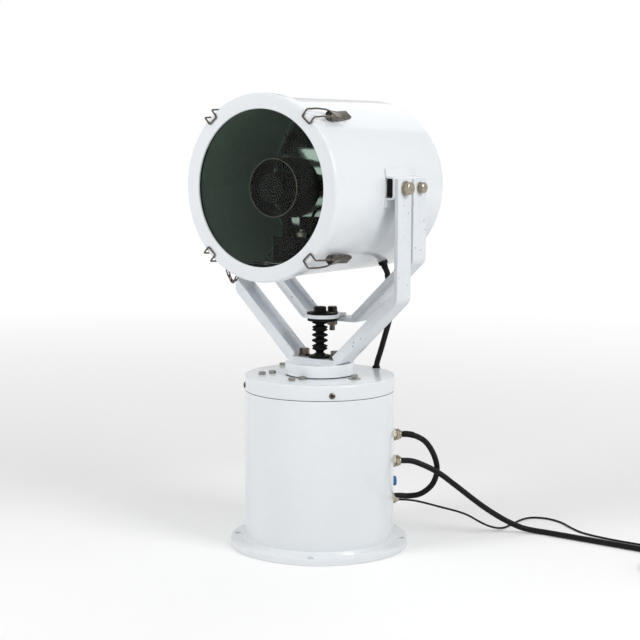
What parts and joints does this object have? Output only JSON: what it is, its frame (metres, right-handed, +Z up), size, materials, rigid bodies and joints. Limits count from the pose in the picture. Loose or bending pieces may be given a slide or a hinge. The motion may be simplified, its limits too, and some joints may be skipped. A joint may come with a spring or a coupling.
{
  "type": "marine searchlight",
  "caption": "Round drum searchlight that tilts in a bent-bar yoke and pans on a cylindrical pedestal with a bolt-down flange, lifted by a bellows-covered push rod.",
  "frame": {"origin": "centre of the pedestal flange's flat underside, on the pan axis", "axes": "+Z up along the pan axis; the lamp shines along -Y at rest; +X is the side with the cable glands"},
  "size_m": [1.0534, 0.6796, 0.9521],
  "materials": {
    "white_paint": "gloss white paint",
    "black_paint": "satin black paint",
    "black_rubber": "matt black rubber",
    "cable_jacket": "semi-matt black cable jacket",
    "steel": "satin stainless steel",
    "dark_steel": "brownish stainless steel",
    "brass": "nickel-plated brass, slightly yellow",
    "aluminium": "machined aluminium",
    "blue_plastic": "blue moulded plastic",
    "tinted_glass": "dark green tinted clear glass",
    "quartz": "clear quartz with metal caps",
    "mirror": "polished reflector"
  },
  "bodies": {
    "base": {"base_flange": "white_paint", "base_body": "white_paint", "base_lid": "white_paint", "drive_bracket": "steel", "pan_motor": "black_paint", "drive_belt": "black_rubber", "main_bearing": "steel", "port_plug": "blue_plastic", "lead_fitting": "brass", "control_gland": "brass", "power_gland": "brass", "return_gland": "brass", "control_cable": "cable_jacket", "power_cable": "cable_jacket", "power_coil": "cable_jacket", "power_plug": "black_paint", "earth_lead": "cable_jacket", "earth_coil": "cable_jacket", "earth_lug": "brass", "lamp_cable_lower": "cable_jacket"},
    "motor_shaft": {"motor_pulley": "aluminium"},
    "pan_head": {"turntable": "white_paint", "shaft_pulley": "aluminium", "tilt_actuator": "steel", "yoke": "white_paint", "yoke_bolt_left": "brass", "yoke_bolt_right": "brass", "bellows_flange": "black_rubber", "bellows": "black_rubber", "lamp_cable_upper": "cable_jacket"},
    "tilt_frame": {"tilt_bracket": "white_paint", "lug_plate": "white_paint", "lug_pad": "black_rubber", "bellows_clamp": "black_paint", "lug_bolt": "brass", "push_rod": "steel"},
    "lamp_head": {"drum_shell": "white_paint", "front_bezel": "white_paint", "front_glass": "tinted_glass", "glass_seal": "black_rubber", "reflector": "mirror", "xenon_lamp": "quartz", "lamp_holder": "aluminium", "glare_shield": "black_paint", "igniter_box": "black_paint", "junction_box": "black_paint", "lamp_tray": "steel", "pivot_bolt_left": "brass", "pivot_bolt_right": "brass", "tilt_bolt_left": "brass", "tilt_bolt_right": "brass", "safety_chain": "steel"},
    "lever_1": {"latch_lever_1": "dark_steel"},
    "bail_1": {"latch_bail_1": "dark_steel"},
    "lever_2": {"latch_lever_2": "dark_steel"},
    "bail_2": {"latch_bail_2": "dark_steel"},
    "lever_3": {"latch_lever_3": "dark_steel"},
    "bail_3": {"latch_bail_3": "dark_steel"},
    "lever_4": {"latch_lever_4": "dark_steel"},
    "bail_4": {"latch_bail_4": "dark_steel"}
  },
  "joints": [
    {"name": "pan", "type": "hinge", "parent": "base", "child": "pan_head", "pos_m": [0, 0, 0.38], "axis": [0, 0, 1], "range_deg": [-60, 60], "deforming": ["lamp_cable_lower"]},
    {"name": "motor_spin", "type": "hinge", "parent": "base", "child": "motor_shaft", "pos_m": [-0.0395, -0.0809, 0.32], "axis": [0, 0, 1], "range_deg": [-180, 180]},
    {"name": "tilt", "type": "hinge", "parent": "pan_head", "child": "lamp_head", "pos_m": [0, 0, 0.764], "axis": [1, 0, 0], "range_deg": [-20, 20], "deforming": ["lamp_cable_upper"]},
    {"name": "rod_lift", "type": "slide", "parent": "pan_head", "child": "tilt_frame", "axis": [0, 0, 1], "range_m": [-0.0193, 0.0193], "deforming": ["bellows"]},
    {"name": "latch_1", "type": "hinge", "parent": "lamp_head", "child": "lever_1", "pos_m": [0.12268, -0.14, 0.90513], "axis": [0.7547, 0, -0.6561], "range_deg": [0, 100]},
    {"name": "bail_swing_1", "type": "hinge", "parent": "lever_1", "child": "bail_1", "pos_m": [0.12531, -0.128, 0.90815], "axis": [0.7547, 0, -0.6561], "range_deg": [-125, 0]},
    {"name": "latch_2", "type": "hinge", "parent": "lamp_head", "child": "lever_2", "pos_m": [-0.12268, -0.14, 0.90513], "axis": [0.7547, 0, 0.6561], "range_deg": [0, 100]},
    {"name": "bail_swing_2", "type": "hinge", "parent": "lever_2", "child": "bail_2", "pos_m": [-0.12531, -0.128, 0.90815], "axis": [0.7547, 0, 0.6561], "range_deg": [-125, 0]},
    {"name": "latch_3", "type": "hinge", "parent": "lamp_head", "child": "lever_3", "pos_m": [0.12634, -0.14, 0.62613], "axis": [-0.7373, 0, -0.6756], "range_deg": [0, 100]},
    {"name": "bail_swing_3", "type": "hinge", "parent": "lever_3", "child": "bail_3", "pos_m": [0.12904, -0.128, 0.62318], "axis": [-0.7373, 0, -0.6756], "range_deg": [-125, 0]},
    {"name": "latch_4", "type": "hinge", "parent": "lamp_head", "child": "lever_4", "pos_m": [-0.12753, -0.14, 0.62724], "axis": [-0.7314, 0, 0.682], "range_deg": [0, 100]},
    {"name": "bail_swing_4", "type": "hinge", "parent": "lever_4", "child": "bail_4", "pos_m": [-0.13026, -0.128, 0.62431], "axis": [-0.7314, 0, 0.682], "range_deg": [-125, 0]}
  ],
  "couplings": [
    {"joint": "motor_spin", "follows": "pan", "ratio": 3},
    {"joint": "rod_lift", "follows": "tilt", "m_per_rad": 0.05487},
    {"joint": "bail_swing_1", "follows": "latch_1", "ratio": -1.25},
    {"joint": "bail_swing_2", "follows": "latch_2", "ratio": -1.25},
    {"joint": "bail_swing_3", "follows": "latch_3", "ratio": -1.25},
    {"joint": "bail_swing_4", "follows": "latch_4", "ratio": -1.25}
  ]
}
